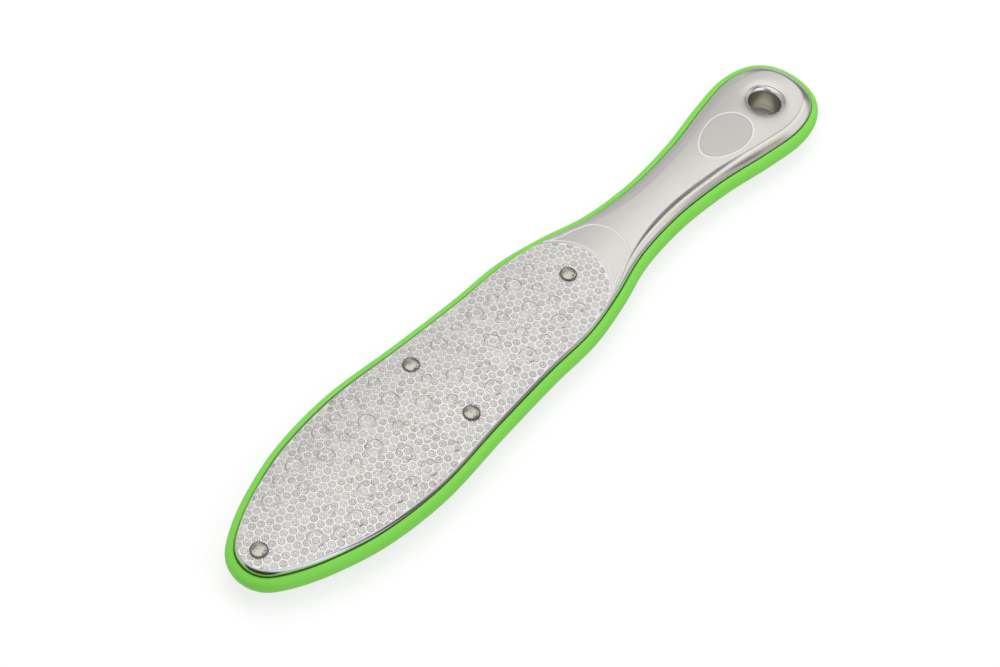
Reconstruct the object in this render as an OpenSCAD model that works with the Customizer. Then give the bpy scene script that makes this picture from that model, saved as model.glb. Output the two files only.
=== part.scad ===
// Two-sided foot file: a coloured moulded core between two pressed steel shells,
// with a crowned abrasive plate riveted on each face and a hanging eyelet in the handle.
// X runs from the tip to the handle end, Z is up, and the origin lies under the middle.

/* [Overall] */
// Length of the pressed shells from tip to handle end
metal_len = 255.4; // [230:0.2:300]
// Greatest width of the shells, across the paddle
metal_w = 43.5; // [40:0.1:50]
// Thickness over both plates on the centre line
body_t = 12.2; // [11.6:0.1:14]
// Radius of the crown across the shells
crown_r = 113; // [105:1:180]

/* [Core] */
// Width by which the core's round rim stands out past the shells
core_lip = 2.8; // [1.6:0.1:3.4]
// Flat ledge of the core between a shell's edge and the round of the rim
core_ledge = 0.5; // [0.3:0.05:0.8]
// Thickness of the web in the middle of the core
web_t = 2; // [1.2:0.1:3]
// Width of the core's solid border, measured in from the shells' edge
border_w = 4; // [3:0.1:5]
// Thickness of the core's ribs
rib_t = 1.6; // [1.2:0.1:2.4]
// Spacing of the core's cross ribs
rib_pitch = 17; // [12:0.5:26]

/* [Shells] */
// Thickness of the shells' sheet
shell_t = 0.8; // [0.6:0.05:1]
// Fall of the sloping edge from the crown, at the widest place of the paddle
edge_fall = 0.38; // [0.3:0.02:0.9]
// Width of the sloping edge round the paddle
paddle_bevel = 0.55; // [0.4:0.05:0.9]
// Width of the sloping edge along the handle's waist
waist_bevel = 3.7; // [3:0.1:4.2]
// Width of the sloping edge round the handle's end
end_bevel = 3; // [2.4:0.1:3.8]
// Distance from the tip at which the sloping edge begins to widen
bevel_from = 138; // [134:1:142]
// Distance from the tip at which it has the waist's width
bevel_to = 180; // [174:1:184]

/* [Plates] */
// Thickness of the plates' sheet
plate_t = 0.4; // [0.3:0.02:0.5]
// Height of the abrasive field over the sheet
field_h = 0.1; // [0.06:0.01:0.16]
// Bare border of the sheet round the abrasive field
field_margin = 0.3; // [0.15:0.05:0.6]
// Distance from the tip to the end of the abrasive field
field_end = 149.8; // [146:0.2:154]
// Radius of the field's round end
field_end_r = 16.5; // [15:0.1:22]
// Distance from the tip to the end of the plate's plain tab
tab_end = 162.6; // [160:0.2:168]
// Radius of the tab's round end
tab_end_r = 11.8; // [11.2:0.1:15]
// Gap between the plate's edge and the sloping edge of the shell
plate_gap = 0.1; // [0.05:0.01:0.2]
// Width of the raised lines round the field's end and inside the tab's edge
line_w = 0.5; // [0.3:0.05:0.7]
// Bare sheet between such a line and the edge that it follows
line_gap = 0.6; // [0.4:0.05:0.9]
// Diameter of a large bump
large_bump_d = 5.4; // [4.6:0.1:6]
// Diameter of a small bump
small_bump_d = 3.6; // [2.8:0.1:4.2]
// Height of a bump over the sheet
bump_h = 0.3; // [0.2:0.02:0.45]
// Width of the slope round a bump
bump_slope = 0.5; // [0.3:0.05:0.8]

/* [Rivets] */
// Distance from the tip to the first rivet
tip_rivet_x = 5.8; // [5.4:0.1:8]
// Distance from the tip to the pair of rivets
pair_rivet_x = 80.8; // [70:0.2:100]
// Distance of each rivet of the pair from the centre line
pair_rivet_y = 12; // [9:0.1:13]
// Distance from the tip to the rivet at the neck
neck_rivet_x = 138.7; // [130:0.2:142]
// Diameter over the toothed rim of a rivet's head
head_d = 5.5; // [4.8:0.1:6]
// Height of the toothed rim over the plate
rim_h = 0.6; // [0.4:0.05:0.8]
// Height of the dome over the toothed rim
dome_h = 0.4; // [0.3:0.05:0.6]
// Width of the flat ledge between the teeth and the dome, and height of the dome's upright foot
dome_foot = 0.1; // [0.05:0.01:0.15]
// Depth of the teeth round a head
tooth_depth = 0.35; // [0.2:0.05:0.4]
// Number of teeth round a head
teeth = 22; // [16:1:28]
// Diameter of the solid half's shank
shank_d = 2.6; // [2:0.1:2.8]
// Wall of the hollow half's barrel
barrel_wall = 0.5; // [0.4:0.05:0.6]
// Clearance of the shanks and barrels in their bores
fit_gap = 0.05; // [0.03:0.01:0.1]

/* [Hanging hole] */
// Distance from the tip to the centre of the hole
hole_x = 239.6; // [236:0.2:241]
// Clear diameter of the hole
hole_d = 10.3; // [8:0.1:11]
// Wall of the eyelet's barrel
eyelet_wall = 0.5; // [0.4:0.05:0.7]
// Width of the eyelet's round flange past its barrel
flange_w = 0.75; // [0.5:0.05:1]
// Depth of the recess that holds the flange in the shell
recess_h = 0.4; // [0.3:0.05:0.5]
// Height of the flange over the floor of its recess
flange_h = 0.3; // [0.2:0.02:0.4]
// Width and depth of the round flare that leads from the flange into the bore
flare = 0.6; // [0.4:0.05:0.8]

/* [Hidden] */

// Overrun of every cut past the face it leaves through
over = 0.5;
// Stations along each half of the outline
stations = 64;
// Facets of the small bores and round pieces
round_fn = 64;
// Facets of the crown
crown_fn = 960;

// Outline of the shells: how far along the length, and how wide against the greatest width
outline_shares = [
    [0, 0], [0.0053, 0.228], [0.029, 0.46], [0.076, 0.71], [0.1345, 0.905], [0.223, 1],
    [0.334, 0.904], [0.428, 0.84], [0.5105, 0.811], [0.569, 0.679], [0.628, 0.4966],
    [0.6985, 0.411], [0.7925, 0.4635], [0.875, 0.62], [0.928, 0.69], [0.9706, 0.596],
    [0.993, 0.36], [1, 0]];
// Section of the sloping edge: how far up, and how far in, from the shell's edge to its crown
slope_shares = [[0, 0], [0.3, 0.12], [0.65, 0.42]];
// Where the handle's sloping edge begins and ends to narrow, against the length
narrow_shares = [0.75, 0.92];
// Section of the core's rim: how far from its ledge to the middle, and how far out to the lip
rim_shares = [[0, 0], [0.13, 0.5], [0.5, 0.87], [1, 1]];
// Section of the flare: how far out from the bore, and how far down from the flange's top
flare_shares = [[1, 0], [0.42, 0.16], [0.11, 0.55], [0, 1]];
// Places of the large bumps: from the tip against the field's end, and out from the centre line
large_shares = [
    [0.129, 0.405], [0.214, 0.565], [0.303, 0.687], [0.392, 0.724], [0.271, 0.367],
    [0.381, 0.349], [0.45, 0.372], [0.349, 0], [0.49, 0], [0.58, 0], [0.692, 0], [0.806, 0],
    [0.613, 0.499], [0.719, 0.485], [0.826, 0.433]];
// Places of the small bumps, told in the same way
small_shares = [
    [0.171, 0.556], [0.257, 0.667], [0.347, 0.702], [0.46, 0.731], [0.324, 0.384],
    [0.191, 0.241], [0.299, 0], [0.416, 0], [0.535, 0.234], [0.636, 0.2], [0.75, 0.172],
    [0.855, 0.152], [0.668, 0.517], [0.773, 0.488], [0.881, 0.472]];

// Heights are told from the middle of the thickness, and each piece is lifted at the end
shell_top = body_t / 2 - plate_t - field_h;
head_top = body_t / 2 - field_h + rim_h + dome_h;
crown_axis_z = shell_top - crown_r;
sheet_r = crown_r + plate_t;
field_r = sheet_r + field_h;
cap_z = shell_top + over;
outline_r = metal_len / 2;
edge_z = crown_z(metal_w / 2 - paddle_bevel) - edge_fall;
flange_seat_z = shell_top - recess_h;
flange_top_z = flange_seat_z + flange_h;

// Bores and barrels that fit one another
shank_bore_d = shank_d + 2 * fit_gap;
barrel_d = shank_bore_d + 2 * barrel_wall;
barrel_bore_d = barrel_d + 2 * fit_gap;
eyelet_d = hole_d + 2 * eyelet_wall;
eyelet_bore_d = eyelet_d + 2 * fit_gap;
flange_d = eyelet_d + 2 * flange_w;

// Colours
lime = [0.47, 0.85, 0.29];
steel = [0.78, 0.77, 0.75];
plate_grey = [0.7, 0.7, 0.68];
rivet_grey = [0.66, 0.64, 0.58];

// Place along X of a distance from the tip
function along(d) = d - outline_r;

// Smooth step from 0 to 1
function ease(u) = let (c = min(max(u, 0), 1)) c * c * (3 - 2 * c);

// Angle of a station of the outline: 0 at the tip and 180 at the handle end
function turn(i) = acos(1 - 2 * outline_shares[i][0]);

// Slope of the outline's curve between two stations, and at a station
last = len(outline_shares) - 1;
function chord(i) = (outline_shares[i + 1][1] - outline_shares[i][1]) / (turn(i + 1) - turn(i));
function slope(i) = i == 0 ? chord(0) : i == last ? chord(last - 1) :
    let (before = turn(i) - turn(i - 1), after = turn(i + 1) - turn(i))
    (after * chord(i - 1) + before * chord(i)) / (before + after);

// Station that begins the stretch which holds an angle
function stretch(a, i = 0) = i >= last - 1 || a < turn(i + 1) ? i : stretch(a, i + 1);

// Width share at an angle: a cubic through the stations with their slopes
function width_share(a) =
    let (i = stretch(a), h = turn(i + 1) - turn(i), u = (a - turn(i)) / h,
         w0 = outline_shares[i][1], w1 = outline_shares[i + 1][1])
    (2 * u * u * u - 3 * u * u + 1) * w0 + (u * u * u - 2 * u * u + u) * h * slope(i)
    + (3 * u * u - 2 * u * u * u) * w1 + (u * u * u - u * u) * h * slope(i + 1);

// Point of the outline at an angle, also a little before the tip and past the end
function half_width(a) = metal_w / 2 * (a < 0 ? -width_share(-a) :
    a > 180 ? -width_share(360 - a) : width_share(a));
function edge_point(a) = [-outline_r * cos(a), half_width(a)];

// Unit normal of the outline, pointing out
function edge_normal(a) =
    let (t = edge_point(a + 1) - edge_point(a - 1))
    [-t[1], t[0]] / norm(t);

// Outline point moved in by a distance, and kept off the centre line
function inset_point(a, d) =
    let (p = edge_point(a) - d * edge_normal(a))
    [p[0], max(p[1], 0)];

// Width of the sloping edge at an angle
function bevel(a) =
    let (d = edge_point(a)[0] + outline_r,
         widen = ease((d - bevel_from) / (bevel_to - bevel_from)),
         narrow = ease((d / metal_len - narrow_shares[0]) / (narrow_shares[1] - narrow_shares[0])))
    paddle_bevel + (waist_bevel - paddle_bevel) * widen + (end_bevel - waist_bevel) * narrow;

// Height of the shell's crown at a distance from the centre line
function crown_z(y, r = crown_r) = crown_axis_z + sqrt(r * r - y * y);

// Closed ring of points round the part, from a list for its left half
function whole_ring(half) = concat(half,
    [for (i = [stations - 1:-1:1]) [half[i][0], -half[i][1], half[i][2]]]);
function angle_of(i) = 180 * i / stations;

// Solid between rings stacked upwards, closed by strips from side to side
module ring_stack(rings) {
    n = 2 * stations;
    top = (len(rings) - 1) * n;
    points = [for (ring = rings) each ring];
    walls = [for (k = [0:len(rings) - 2]) for (i = [0:n - 1])
        let (a = k * n + i, b = k * n + (i + 1) % n)
        each [[a, b + n, a + n], [a, b, b + n]]];
    floor_strips = [for (i = [0:stations - 1])
        let (a = i, b = i + 1, c = n - i - 1, d = (n - i) % n)
        each [[a, c, b], [a, d, c]]];
    faces = concat(walls,
        [for (f = floor_strips) if (is_real(f)) f],
        [for (f = floor_strips) if (is_real(f)) [f[2] + top, f[1] + top, f[0] + top]]);
    polyhedron(points = points, faces = faces, convexity = 8);
}
function is_real(f) = f[0] != f[1] && f[1] != f[2] && f[2] != f[0];

// Ring of the shell's sloping edge, drawn in and down by the given wall
function slope_ring(wall, rise, run) = whole_ring([for (i = [0:stations])
    let (a = angle_of(i), b = bevel(a), c = crown_z(inset_point(a, b)[1]))
    [each inset_point(a, wall + run * b), edge_z - wall + rise * (c - edge_z)]]);

// The last ring carries the top slope on to a level cap over the crown
function cap_ring(wall) =
    let (low = slope_shares[len(slope_shares) - 1],
         lean = (1 - low[1]) / (1 - low[0]))
    whole_ring([for (i = [0:stations])
        let (a = angle_of(i), b = bevel(a), c = crown_z(inset_point(a, b)[1]),
             rise = (cap_z - edge_z) / (c - edge_z))
        [each inset_point(a, wall + b * (low[1] + lean * (rise - low[0]))), cap_z - wall]]);

// Body under the crown, drawn in on all sides by the given wall
module crowned_body(wall) {
    intersection() {
        ring_stack([for (s = slope_shares) slope_ring(wall, s[0], s[1]), cap_ring(wall)]);
        crown_bar(crown_r - wall);
    }
}

// Long bar whose side is the crown of the given radius
module crown_bar(r) {
    translate([0, 0, crown_axis_z])
        rotate([0, 90, 0])
            cylinder(h = metal_len + 2 * over, r = r, center = true, $fn = crown_fn);
}

// Flat outline drawn in by the sloping edge and a further distance
module flat_outline(d) {
    left = [for (i = [0:stations]) inset_point(angle_of(i), bevel(angle_of(i)) + d)];
    right = [for (i = [stations - 1:-1:1]) [left[i][0], -left[i][1]]];
    polygon(concat(left, right));
}

// Flat outline drawn in by a distance alone
module plain_outline(d) {
    left = [for (i = [0:stations]) inset_point(angle_of(i), d)];
    right = [for (i = [stations - 1:-1:1]) [left[i][0], -left[i][1]]];
    polygon(concat(left, right));
}

// The four rivets: distance from the tip, and out from the centre line
rivet_places = [[tip_rivet_x, 0], [pair_rivet_x, pair_rivet_y],
                [pair_rivet_x, -pair_rivet_y], [neck_rivet_x, 0]];

// Bores at every rivet, and the bore of the eyelet
module rivet_bores(d) {
    for (p = rivet_places)
        translate([along(p[0]), p[1], 0])
            cylinder(h = 2 * (head_top + over), d = d, center = true, $fn = round_fn);
}
module eyelet_bore() {
    translate([along(hole_x), 0, 0])
        cylinder(h = 2 * (head_top + over), d = eyelet_bore_d, center = true, $fn = round_fn);
}

// Lifts a piece so that the lowest rivet head stands at zero
module lifted() {
    translate([0, 0, head_top]) children();
}

// Turns a front piece to the rear face
module turned() {
    mirror([0, 0, 1]) children();
}

// Rim of the core: its section runs from ledge to ledge round a bulging side
module core_rim() {
    lower = [for (s = rim_shares)
        [(s[0] - 1) * edge_z, core_ledge + s[1] * (core_lip - core_ledge)]];
    upper = [for (i = [len(lower) - 2:-1:0]) [-lower[i][0], lower[i][1]]];
    ring_stack([for (s = concat(lower, upper)) whole_ring([for (i = [0:stations])
        let (p = edge_point(angle_of(i)) + s[1] * edge_normal(angle_of(i)))
        [p[0], i == 0 || i == stations ? 0 : p[1], s[0]]])]);
}

// Pockets of the core: all that its border, ribs and bosses leave
module core_pockets() {
    reach = metal_w;
    ribs = floor(outline_r / rib_pitch);
    difference() {
        plain_outline(border_w);
        square([metal_len, rib_t], center = true);
        for (i = [-ribs:ribs])
            translate([i * rib_pitch, 0])
                square([rib_t, reach], center = true);
        for (p = rivet_places)
            translate([along(p[0]), p[1]])
                circle(d = barrel_bore_d + 2 * rib_t, $fn = round_fn);
        translate([along(hole_x), 0])
            circle(d = flange_d + 2 * rib_t, $fn = round_fn);
    }
}

module core_frame() {
    color(lime)
        lifted()
            difference() {
                union() {
                    core_rim();
                    crowned_body(shell_t + fit_gap);
                    turned() crowned_body(shell_t + fit_gap);
                }
                for (side = [0, 1])
                    mirror([0, 0, side])
                        translate([0, 0, web_t / 2])
                            linear_extrude(height = body_t) core_pockets();
                rivet_bores(barrel_bore_d);
                eyelet_bore();
            }
}

// Flat-floored recess for the eyelet's flange
module flange_recess() {
    translate([along(hole_x), 0, flange_seat_z])
        cylinder(h = recess_h + over, d = flange_d + 2 * fit_gap, $fn = 2 * round_fn);
}

// Pressed shell of the front face
module shell_solid(bore_d) {
    difference() {
        crowned_body(0);
        crowned_body(shell_t);
        rivet_bores(bore_d);
        eyelet_bore();
        flange_recess();
    }
}

module front_shell() {
    color(steel) lifted() shell_solid(shank_bore_d);
}

module rear_shell() {
    color(steel) lifted() turned() shell_solid(barrel_bore_d);
}

// Shape from above of the shell's flat, less an edge gap, up to a round end of the given radius
module round_ended(end, r, gap) {
    centre = along(end - r);
    intersection() {
        flat_outline(gap);
        union() {
            translate([centre, 0]) circle(r = r, $fn = 4 * round_fn);
            translate([centre - metal_len, -metal_w / 2]) square([metal_len, metal_w]);
        }
    }
}

// Shape from above of the line that follows a round end of the given radius
module end_line(end, r) {
    difference() {
        round_ended(end, r, plate_gap + field_margin);
        round_ended(end - line_w, r - line_w, 0);
        translate([along(end - r) - metal_len, -metal_w / 2]) square([metal_len, metal_w]);
    }
}

// Shape from above of all that rises over the sheet: the abrasive field and the two lines
module raised_outline() {
    line_step = line_gap + line_w;
    round_ended(field_end, field_end_r, plate_gap + field_margin);
    end_line(field_end + line_step, field_end_r + line_step);
    end_line(tab_end - line_gap, tab_end_r - line_gap);
}

// Bump standing square to the crown at a distance from the tip and from the centre line
module bump(x, y, d) {
    translate([along(x), 0, crown_axis_z])
        rotate([-asin(y / sheet_r), 0, 0])
            translate([0, 0, crown_r + plate_t / 2])
                cylinder(h = plate_t / 2 + bump_h, d1 = d, d2 = d - 2 * bump_slope, $fn = round_fn);
}
module bumps(shares, d) {
    for (s = shares) {
        x = s[0] * field_end;
        y = s[1] * metal_w / 2;
        bump(x, y, d);
        if (y > 0)
            bump(x, -y, d);
    }
}

// Riveted plate, bored for the shanks or the barrels that pass it
module plate_solid(bore_d) {
    difference() {
        union() {
            intersection() {
                linear_extrude(height = body_t) round_ended(tab_end, tab_end_r, plate_gap);
                crown_bar(sheet_r);
            }
            intersection() {
                linear_extrude(height = body_t) raised_outline();
                crown_bar(field_r);
            }
            children();
        }
        crown_bar(crown_r);
        rivet_bores(bore_d);
    }
}

module coarse_plate() {
    color(plate_grey)
        lifted()
            plate_solid(shank_bore_d) {
                bumps(large_shares, large_bump_d);
                bumps(small_shares, small_bump_d);
            }
}

module fine_plate() {
    color(plate_grey) lifted() turned() plate_solid(barrel_bore_d);
}

// Round head with a toothed rim and a low dome, seated on the crown of the plate
module rivet_head(y) {
    seat_z = crown_z(y, sheet_r);
    rim_r = head_d / 2;
    dome_r = rim_r - tooth_depth - dome_foot;
    rise = dome_h - dome_foot;
    ball_r = (dome_r * dome_r + rise * rise) / (2 * rise);
    difference() {
        union() {
            translate([0, 0, seat_z - over])
                linear_extrude(height = over + rim_h)
                    polygon([for (i = [0:2 * teeth - 1])
                        let (a = 180 * i / teeth, r = i % 2 == 0 ? rim_r : rim_r - tooth_depth)
                        [r * cos(a), r * sin(a)]]);
            translate([0, 0, seat_z + rim_h])
                rotate_extrude($fn = round_fn)
                    intersection() {
                        translate([0, dome_h - ball_r]) circle(r = ball_r, $fn = 8 * round_fn);
                        square([dome_r, dome_h]);
                    }
        }
        translate([0, -y, 0]) crown_bar(sheet_r);
    }
}

// Solid half of a rivet: its shank ends inside the hollow half
stud_end_z = -edge_z;
module rivet_stud(y) {
    rivet_head(y);
    translate([0, 0, stud_end_z])
        cylinder(h = crown_z(y, sheet_r) + rim_h / 2 - stud_end_z, d = shank_d, $fn = round_fn);
}

// Hollow half: its barrel reaches up through the core to just under the front shell
barrel_end_z = shell_top - shell_t - fit_gap - rib_t;
module rivet_barrel(y) {
    rivet_head(y);
    difference() {
        translate([0, 0, -barrel_end_z])
            cylinder(h = crown_z(y, sheet_r) + rim_h / 2 + barrel_end_z, d = barrel_d, $fn = round_fn);
        translate([0, 0, -barrel_end_z - over])
            cylinder(h = barrel_end_z + over - stud_end_z + fit_gap, d = shank_bore_d, $fn = round_fn);
    }
}

// Puts a rivet half at its place, the solid halves in front and the hollow halves at the rear
module stud_at(i) {
    p = rivet_places[i];
    color(rivet_grey) lifted() translate([along(p[0]), p[1], 0]) rivet_stud(p[1]);
}
module barrel_at(i) {
    p = rivet_places[i];
    color(rivet_grey) lifted() turned() translate([along(p[0]), p[1], 0]) rivet_barrel(p[1]);
}

module tip_rivet_stud() stud_at(0);
module tip_rivet_barrel() barrel_at(0);
module left_rivet_stud() stud_at(1);
module left_rivet_barrel() barrel_at(1);
module right_rivet_stud() stud_at(2);
module right_rivet_barrel() barrel_at(2);
module neck_rivet_stud() stud_at(3);
module neck_rivet_barrel() barrel_at(3);

// Outer part of a flange's section: its seat, its side and its bevelled corner
flange_r = flange_d / 2;
flange_corner = flange_h / 2;
flange_side = [[flange_r, flange_seat_z], [flange_r, flange_top_z - flange_corner],
               [flange_r - flange_corner, flange_top_z]];

// Lining of the hanging hole, turned in one piece: barrel, front flange and flare
module hang_eyelet() {
    barrel = [[hole_d / 2, -flange_top_z], [eyelet_d / 2, -flange_top_z],
              [eyelet_d / 2, flange_seat_z]];
    funnel = [for (s = flare_shares) [hole_d / 2 + s[0] * flare, flange_top_z - s[1] * flare]];
    color(steel)
        lifted()
            translate([along(hole_x), 0, 0])
                rotate_extrude($fn = 2 * round_fn)
                    polygon(concat(barrel, flange_side, funnel));
}

// Ring round the rear end of the lining's barrel
module eyelet_ring() {
    inner_r = eyelet_d / 2 + fit_gap;
    color(steel)
        lifted()
            turned()
                translate([along(hole_x), 0, 0])
                    rotate_extrude($fn = 2 * round_fn)
                        polygon(concat([[inner_r, flange_seat_z]], flange_side,
                                       [[inner_r, flange_top_z]]));
}

core_frame();
front_shell();
rear_shell();
coarse_plate();
fine_plate();
tip_rivet_stud();
tip_rivet_barrel();
left_rivet_stud();
left_rivet_barrel();
right_rivet_stud();
right_rivet_barrel();
neck_rivet_stud();
neck_rivet_barrel();
hang_eyelet();
eyelet_ring();
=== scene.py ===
import math

import bmesh
import bpy
import numpy as np
from mathutils import Matrix, Vector


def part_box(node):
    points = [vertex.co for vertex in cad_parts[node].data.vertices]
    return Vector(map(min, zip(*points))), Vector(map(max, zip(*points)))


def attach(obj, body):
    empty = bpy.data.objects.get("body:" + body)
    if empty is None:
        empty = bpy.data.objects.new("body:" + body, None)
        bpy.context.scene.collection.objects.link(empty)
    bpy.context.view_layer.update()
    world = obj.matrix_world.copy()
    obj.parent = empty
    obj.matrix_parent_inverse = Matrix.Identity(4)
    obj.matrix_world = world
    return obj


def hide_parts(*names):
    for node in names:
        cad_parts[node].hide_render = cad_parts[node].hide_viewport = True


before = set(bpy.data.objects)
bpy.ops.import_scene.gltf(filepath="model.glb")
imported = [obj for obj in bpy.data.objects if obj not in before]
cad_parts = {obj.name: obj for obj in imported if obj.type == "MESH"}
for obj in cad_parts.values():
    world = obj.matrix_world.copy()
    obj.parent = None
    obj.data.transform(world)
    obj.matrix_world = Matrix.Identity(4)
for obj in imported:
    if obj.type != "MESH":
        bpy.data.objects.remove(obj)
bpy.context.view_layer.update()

# Sizes in metres, taken from the frame where it has them
MM = 0.001
shell_low, shell_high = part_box("front_shell")
core_low, core_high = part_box("core_frame")
eyelet_low, eyelet_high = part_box("hang_eyelet")
METAL_LEN = shell_high.x - shell_low.x
METAL_W = shell_high.y - shell_low.y
TIP_X = -METAL_LEN / 2
MIDDLE_Z = (core_low.z + core_high.z) / 2
SHELL_TOP = shell_high.z - MIDDLE_Z
EDGE_Z = shell_low.z - MIDDLE_Z
CROWN_R = 113 * MM
SHELL_T = 0.8 * MM
LIP = (core_high.y - core_low.y - METAL_W) / 2

# Sloping edge of the shells
PADDLE_BEVEL = 0.55 * MM
WAIST_BEVEL = 3.7 * MM
END_BEVEL = 3 * MM
BEVEL_FROM = 138 * MM
BEVEL_TO = 180 * MM
NARROW_SHARES = (0.75, 0.92)
NECK_ROLL = 0.72
END_ROLL = 0.42
ROLL_FROM = 198 * MM
ROLL_TO = 224 * MM
CREASE_W = 0.5 * MM
CREASE_DROP = 0.04 * MM
CREASE_STEPS = CREASE_W * np.linspace(0, 1, 6)
# Distances from the tip between which the paddle's narrow edge turns dark by a painted dark reflection, and
# between which it turns pale again
DARK_REFLECTION_SPAN = (20 * MM, 27 * MM, 98 * MM, 130 * MM)

# Plates, islands and bumps
PLATE_T = 0.4 * MM
PLATE_GAP = 0.1 * MM
FIELD_END = 149.8 * MM
FIELD_END_R = 16.5 * MM
TAB_END = 162.6 * MM
TAB_END_R = 11.8 * MM
LARGE_BUMP_R = 2.7 * MM
SMALL_BUMP_R = 1.8 * MM
BUMP_H = 0.12 * MM
BUMP_SLOPE = 0.42 * MM
LINE_W = 0.5 * MM
LINE_GAP = 0.6 * MM

# Honeycombs of islands: spacing across the file and along it, and the place of one island
COARSE_COMB = {"pitch": 2.66 * MM, "row": 2.297 * MM, "first": (-55.87 * MM, 0.18 * MM)}
FINE_COMB = {"pitch": 2.1 * MM, "row": 1.819 * MM, "first": (-56 * MM, 0)}
ISLAND_SHARE = 0.435
ISLAND_H = 0.1 * MM
FIELD_MARGIN = 0.3 * MM
RIVET_CLEAR = 2.2 * MM

# Rivet heads
RIM_H = 0.6 * MM
DOME_H = 0.4 * MM
TOOTH_DEPTH = 0.35 * MM
TEETH = 22

# Hanging hole
HOLE_X = (eyelet_low.x + eyelet_high.x) / 2
HOLE_R = 5.15 * MM
RECESS_R = 6.45 * MM
DISH_DEPTH = 0.4 * MM
DISH_W = 1.8 * MM
SHOULDER_H = 0.25 * MM
SHOULDER_W = 0.4 * MM
FLANGE_DROP = DISH_DEPTH + SHOULDER_H + 0.05 * MM
FLARE = 1.15 * MM
FLARE_TURN = 62

# Egg-shaped area: its middle from the tip, half its length and width, and the growth of the width along it
EGG_PLACE = 217.6 * MM
EGG_HALF_LEN = 11.6 * MM
EGG_HALF_W = 7.5 * MM
EGG_GROWTH = 0.17

# Outline of the shells: how far along the length, and how wide against the greatest width
OUTLINE_SHARES = np.array([
    [0, 0], [0.0053, 0.228], [0.029, 0.46], [0.076, 0.71], [0.1345, 0.905], [0.223, 1],
    [0.334, 0.904], [0.428, 0.84], [0.5105, 0.811], [0.569, 0.679], [0.628, 0.4966],
    [0.6985, 0.411], [0.7925, 0.4635], [0.875, 0.62], [0.928, 0.69], [0.9706, 0.596],
    [0.993, 0.36], [1, 0]])
# Places of the bumps: from the tip against the field's end, and out from the centre line
LARGE_SHARES = np.array([
    [0.129, 0.405], [0.214, 0.565], [0.303, 0.687], [0.392, 0.724], [0.271, 0.367],
    [0.381, 0.349], [0.45, 0.372], [0.349, 0], [0.49, 0], [0.58, 0], [0.692, 0], [0.806, 0],
    [0.613, 0.499], [0.719, 0.485], [0.826, 0.433]])
SMALL_SHARES = np.array([
    [0.171, 0.556], [0.257, 0.667], [0.347, 0.702], [0.46, 0.731], [0.324, 0.384],
    [0.191, 0.241], [0.299, 0], [0.416, 0], [0.535, 0.234], [0.636, 0.2], [0.75, 0.172],
    [0.855, 0.152], [0.668, 0.517], [0.773, 0.488], [0.881, 0.472]])
BUMP_SIZES = ((LARGE_SHARES, LARGE_BUMP_R), (SMALL_SHARES, SMALL_BUMP_R))

# Colours, as linear light
LIME = (0.19, 0.61, 0.065, 1)
LIME_DEEP = (0.11, 0.45, 0.03, 1)
# Painted shade in the groove under the shells' edge
LIME_GROOVE_SHADE = (0.07, 0.34, 0.015, 1)
STEEL = (0.805, 0.782, 0.745, 1)
STEEL_MATT = (0.84, 0.81, 0.78, 1)
# Painted highlight on the egg's thin border, and painted shade just inside it
EGG_PAINTED_HIGHLIGHT = (0.93, 0.92, 0.9, 1)
EGG_PAINTED_SHADE = (0.7, 0.69, 0.68, 1)
# Painted dark reflection on the paddle's narrow sloping edge
PAINTED_DARK_REFLECTION = (0.44, 0.425, 0.425, 1)
# Painted shade down the hanging hole's bore
BORE_PAINTED_SHADE = (0.62, 0.6, 0.52, 1)
NICKEL = (0.835, 0.82, 0.795, 1)
GRIT = (0.63, 0.62, 0.59, 1)
GRIT_PALE = (0.82, 0.81, 0.79, 1)
GRIT_DARK = (0.32, 0.315, 0.3, 1)
STAIN = (0.34, 0.2, 0.08, 1)
# Grime and painted shade among the rivets' teeth
GRIME_AND_SHADE = (0.05, 0.045, 0.04, 1)
WARM_NICKEL = (0.63, 0.6, 0.53, 1)
BLACK = (0, 0, 0, 1)
WHITE = (1, 1, 1, 1)
FLOOR_WHITE = (0.9, 0.9, 0.9, 1)
EVEN_LIGHT = (0.8, 0.8, 0.8, 1)

# Camera: it looks at a point of the plate from the photograph's angle
CAMERA_TARGET = Vector((-0.0202938, 0.0003971, 0.0131))
CAMERA_AZIMUTH = math.radians(-54.514)
CAMERA_ELEVATION = math.radians(55.076)
CAMERA_ROLL = math.radians(7.293)
CAMERA_DISTANCE = 0.624986
CAMERA_LENS = 75
CAMERA_SENSOR = 36


def make_camera():
    """Camera on a sphere round its target: azimuth, elevation and distance give its place, then it rolls."""
    back = Vector((math.sin(CAMERA_AZIMUTH) * math.cos(CAMERA_ELEVATION),
                   -math.cos(CAMERA_AZIMUTH) * math.cos(CAMERA_ELEVATION),
                   math.sin(CAMERA_ELEVATION)))
    level = Vector((math.cos(CAMERA_AZIMUTH), math.sin(CAMERA_AZIMUTH), 0))
    upright = back.cross(level)
    right = level * math.cos(CAMERA_ROLL) + upright * math.sin(CAMERA_ROLL)
    up = upright * math.cos(CAMERA_ROLL) - level * math.sin(CAMERA_ROLL)
    camera = bpy.data.objects.new("camera", bpy.data.cameras.new("camera"))
    camera.data.lens = CAMERA_LENS
    camera.data.sensor_width = CAMERA_SENSOR
    camera.data.clip_start = 0.01
    camera.matrix_world = Matrix.Translation(CAMERA_TARGET + back * CAMERA_DISTANCE) @ Matrix(
        (right, up, back)).transposed().to_4x4()
    bpy.context.scene.collection.objects.link(camera)
    bpy.context.scene.camera = camera


# Shape of the outline
def ease(u):
    """Smooth step: 3u^2 - 2u^3 between 0 and 1."""
    c = np.clip(u, 0, 1)
    return c * c * (3 - 2 * c)


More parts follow.
